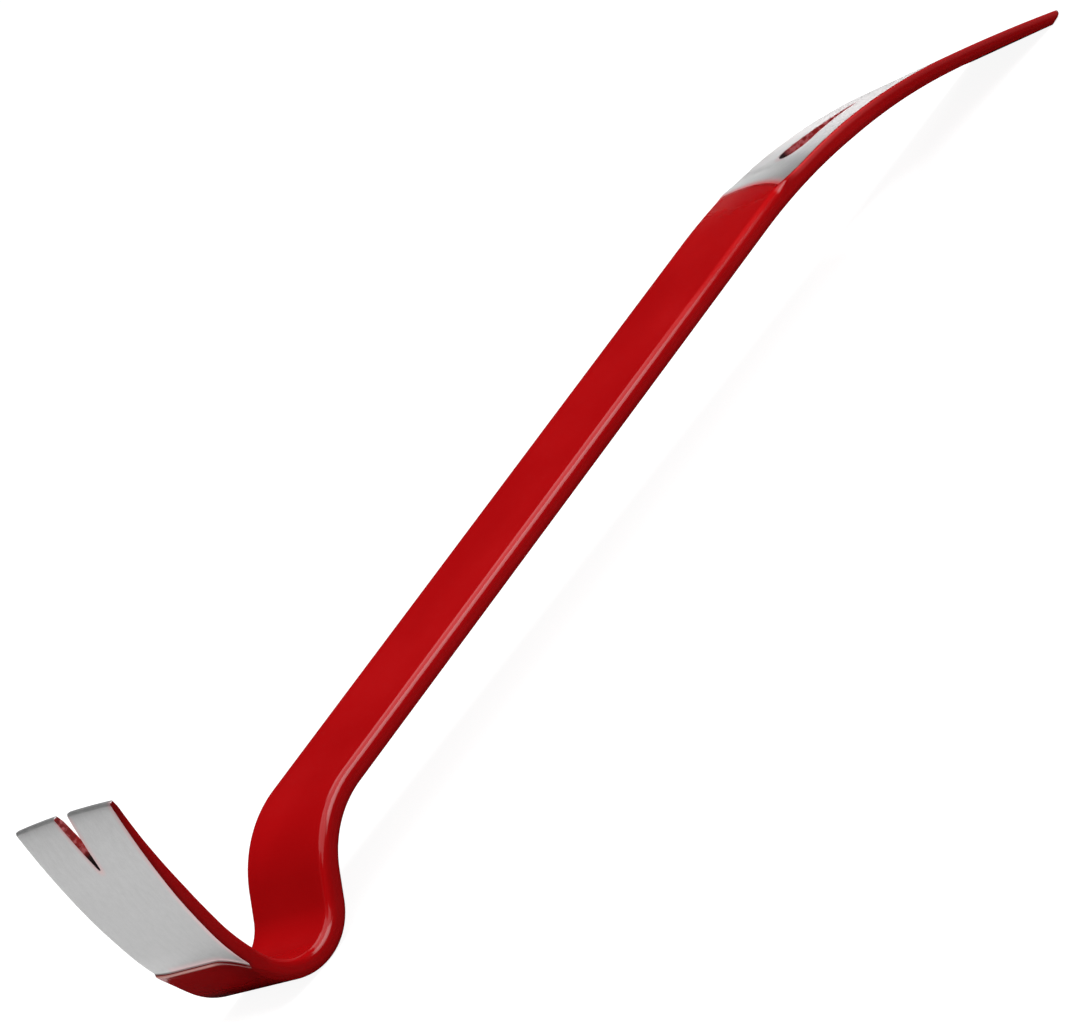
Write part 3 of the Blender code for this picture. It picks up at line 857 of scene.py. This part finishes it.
lamps = {
    "topLamp": {"at": (-0.05, -0.25, 1.9), "aim": (0.0, 0.0, 0.03), "size": (1.2, 1.2), "power": 32.0,
                "mirrored": False, "lights": True},
    "outerStrip": {"at": (0.26, -0.776, 1.06), "aim": (0.26, 0.0, 0.03), "size": (1.12, 0.89), "power": 8.9,
                   "mirrored": True, "lights": True},
    "innerStrip": {"at": (0.43, 0.88, 0.98), "aim": (0.43, 0.0, 0.03), "size": (0.74, 0.55), "power": 1.08,
                   "mirrored": True, "lights": True},
    "bladeStrip": {"at": (1.62, 1.90, 0.11), "aim": (0.12, 0.0, 0.03), "size": (0.50, 0.17), "power": 0.9,
                   "mirrored": True, "lights": False},
}


def addCamera():
    lensData = bpy.data.cameras.new("viewCamera")
    lensData.sensor_width = studio["sensor"]
    lensData.lens = studio["lens"]
    lensData.clip_start, lensData.clip_end = studio["clip"]
    camera = bpy.data.objects.new("viewCamera", lensData)
    camera.location = studio["cameraAt"]
    camera.rotation_euler = [math.radians(a) for a in studio["cameraTurn"]]
    bpy.context.scene.collection.objects.link(camera)
    bpy.context.scene.camera = camera


def addLamp(name, settings):
    light = bpy.data.lights.new(name, "AREA")
    light.shape = "RECTANGLE"
    light.size, light.size_y = settings["size"]
    light.energy = settings["power"]
    lamp = bpy.data.objects.new(name, light)
    lamp.location = settings["at"]
    lamp.rotation_euler = (Vector(settings["aim"]) - lamp.location).to_track_quat("-Z", "Y").to_euler()
    lamp.visible_glossy = settings["mirrored"]
    lamp.visible_diffuse = settings["lights"]
    bpy.context.scene.collection.objects.link(lamp)


def seenRays(tree):
    # 1 for rays that show a surface: from the camera, off something shiny, or through something clear
    path = addNode(tree, "ShaderNodeLightPath").outputs
    seen = maths(tree, "MAXIMUM", path["Is Camera Ray"], path["Is Glossy Ray"])
    return maths(tree, "MAXIMUM", seen, path["Is Transmission Ray"])


def addFloor():
    half = studio["floorSize"] / 2
    corners = [(-half, -half, 0), (half, -half, 0), (half, half, 0), (-half, half, 0)]
    floor = addMesh("studioFloor", corners, [(0, 1, 2, 3)])
    floor.location.z = -studio["floorDrop"]
    material, tree = newMaterial("paleFloor")[:2]
    tree.nodes.clear()

    def matt(level):
        return addNode(tree, "ShaderNodeBsdfDiffuse", None, {"Color": (level, level, level, 1.0)}).outputs[0]

    def mixed(factor, a, b):
        return addNode(tree, "ShaderNodeMixShader", None, {0: factor, 1: a, 2: b}).outputs[0]

    light = {"Color": white, "Strength": studio["floorGlow"]}
    glow = addNode(tree, "ShaderNodeEmission", None, light).outputs[0]
    shown = addNode(tree, "ShaderNodeAddShader", None, {0: matt(studio["floorShown"]), 1: glow}).outputs[0]
    camera = addNode(tree, "ShaderNodeLightPath").outputs["Is Camera Ray"]
    seen = mixed(camera, matt(studio["floorMirrored"]), shown)
    surface = mixed(seenRays(tree), matt(studio["floorColour"]), seen)
    addNode(tree, "ShaderNodeOutputMaterial", None, {"Surface": surface})
    floor.data.materials.append(material)


def addCards():
    # black card in a ring round the set and flat on the floor, seen only in reflections, keeps off glare
    sides = studio["cardSides"]
    turn = np.arange(sides) * 2 * np.pi / sides
    ring = np.stack([np.cos(turn), np.sin(turn)], -1) * studio["cardRadius"]
    start, end, height = studio["cardOpen"]
    lowEdge = np.where((np.degrees(turn) >= start) & (np.degrees(turn) < end), height, 0.0)
    lean = np.maximum(np.cos(turn), 0.0) / studio["cardLean"]          # it stands higher past the blade's end
    highEdge = np.maximum(studio["cardHigh"], studio["cardRadius"] * np.sqrt(np.maximum(lean ** 2 - 1, 0.0)))
    flat = [(x, y, -studio["cardDrop"]) for x0, x1, y0, y1 in studio["floorCards"]
            for x, y in ((x0, y0), (x1, y0), (x1, y1), (x0, y1))]
    a = np.arange(sides)
    b = (a + 1) % sides
    standing = np.stack([b, a, a + sides, b + sides], -1)
    lying = 2 * sides + np.arange(len(flat)).reshape(-1, 4)
    low, high = np.column_stack([ring, lowEdge]), np.column_stack([ring, highEdge])
    points = np.concatenate([low, high, np.array(flat)])
    cards = addMesh("blackCards", points.tolist(), np.concatenate([standing, lying]).tolist())
    material, tree, shader = newMaterial("blackCard")
    feed(tree, shader, {"Base Color": studio["cardColour"], "Roughness": 1.0, "Specular IOR Level": 0.0})
    cards.data.materials.append(material)
    cards.visible_camera = False
    cards.visible_diffuse = False
    cards.visible_shadow = False


def addWorld():
    world = bpy.data.worlds.new("studioWorld")
    bpy.context.scene.world = world
    world.use_nodes = True
    tree = world.node_tree
    limits = {"Value": seenRays(tree), "To Min": studio["ambient"], "To Max": 1.0}
    strength = addNode(tree, "ShaderNodeMapRange", None, limits).outputs["Result"]
    feed(tree, tree.nodes["Background"], {"Color": white, "Strength": strength})


addCamera()
for name, settings in lamps.items():
    addLamp(name, settings)
addFloor()
addCards()
addWorld()
bpy.context.scene.view_settings.view_transform = "Standard"
print("studio set")
